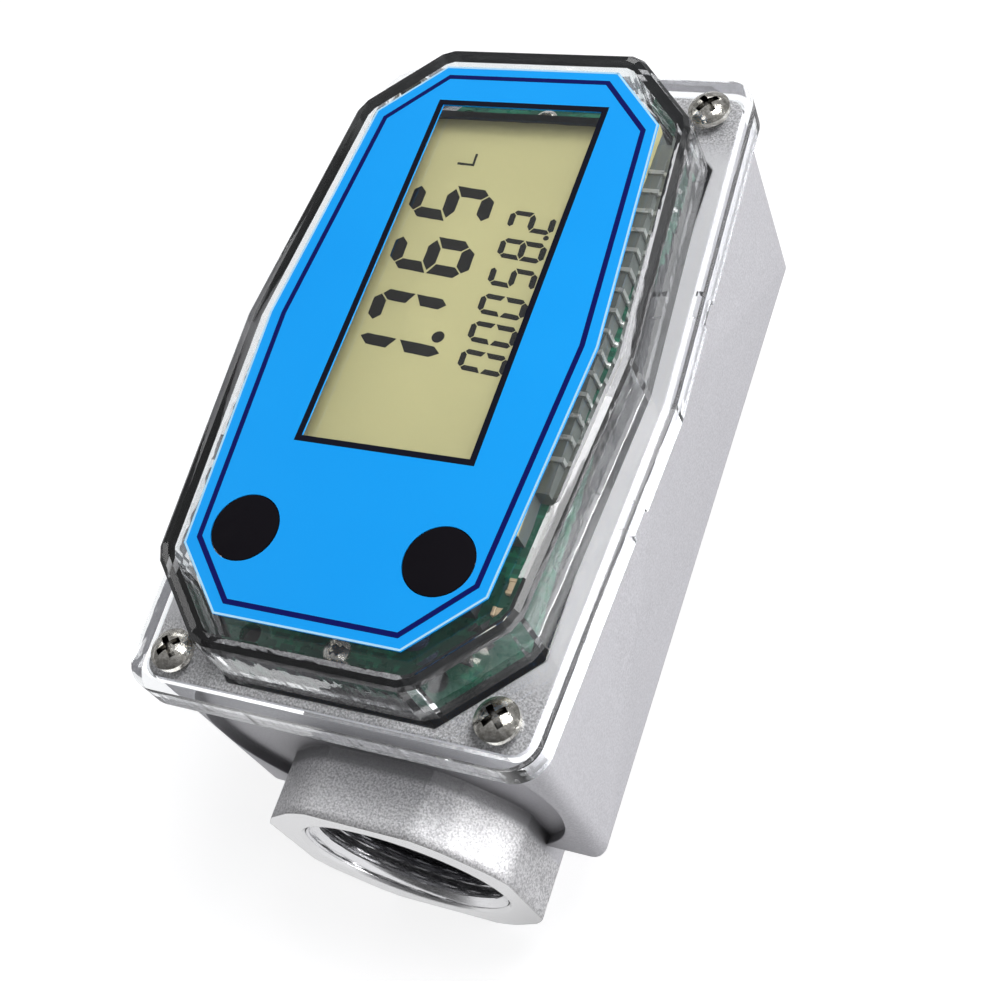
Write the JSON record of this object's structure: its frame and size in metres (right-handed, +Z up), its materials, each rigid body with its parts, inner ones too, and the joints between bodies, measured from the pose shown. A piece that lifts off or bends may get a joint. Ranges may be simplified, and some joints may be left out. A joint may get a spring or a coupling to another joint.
{
  "type": "turbine flow meter",
  "caption": "Inline turbine flow meter: cast aluminium housing with octagonal threaded ports, clear bolted cover, liquid crystal display, push buttons and a bladed rotor in the flow tube.",
  "frame": {"origin": "bottom centre of the meter, level with the lowest flats of its two ports, below the middle of the flow axis", "axes": "+Y along the flow, from the inlet port by the buttons to the outlet port, +Z up through the display, +X across the meter"},
  "size_m": [0.0702, 0.1288, 0.0746],
  "materials": {
    "cast_aluminium": "sandblasted casting",
    "clear_plastic": "clear, polished",
    "gasket_rubber": "matte",
    "screw_steel": "nickel plated",
    "blue_film": "printed film",
    "button_black": "glossy",
    "display_glass": "reflective liquid crystal",
    "black_plastic": "moulded",
    "white_plastic": "moulded",
    "pin_metal": "tinned",
    "board_green": "solder mask",
    "stem_plastic": "moulded",
    "chip_black": "moulded",
    "can_metal": "plated",
    "capacitor_sleeve": "sleeved",
    "cell_wrap": "wrapped cell",
    "contact_steel": "nickel plated",
    "pickup_case": "potted",
    "support_metal": "machined",
    "spring_steel": "phosphated",
    "shaft_steel": "ground",
    "rotor_plastic": "moulded",
    "bush_plastic": "moulded",
    "magnet_metal": "plated"
  },
  "bodies": {
    "meter": {"meter_body": "cast_aluminium", "clear_cover": "clear_plastic", "cover_gasket": "gasket_rubber", "cover_screws": "screw_steel", "face_label": "blue_film", "display_glass": "display_glass", "display_frame": "black_plastic", "display_holder": "white_plastic", "display_pins": "pin_metal", "circuit_board": "board_green", "board_screws": "screw_steel", "switch_cases": "black_plastic", "controller_chip": "chip_black", "crystal_can": "can_metal", "board_capacitors": "capacitor_sleeve", "battery_tray": "black_plastic", "battery_cells": "cell_wrap", "contact_springs": "contact_steel", "contact_plates": "contact_steel", "pickup_sensor": "pickup_case", "front_support": "support_metal", "rear_support": "support_metal", "retaining_rings": "spring_steel", "rotor_shaft": "shaft_steel"},
    "rotor": {"turbine_rotor": "rotor_plastic", "rotor_bushes": "bush_plastic", "rotor_magnets": "magnet_metal"},
    "calibrate_push": {"calibrate_button": "button_black", "calibrate_stem": "stem_plastic"},
    "display_push": {"display_button": "button_black", "display_stem": "stem_plastic"}
  },
  "joints": [
    {"name": "rotor_spin", "type": "hinge", "parent": "meter", "child": "rotor", "pos_m": [0, 0, 0.0205], "axis": [0, 1, 0], "continuous": true},
    {"name": "calibrate_press", "type": "slide", "parent": "meter", "child": "calibrate_push", "axis": [0, 0, -1], "range_m": [0, 0.0006], "stiffness_N_per_m": 2500},
    {"name": "display_press", "type": "slide", "parent": "meter", "child": "display_push", "axis": [0, 0, -1], "range_m": [0, 0.0006], "stiffness_N_per_m": 2500}
  ]
}
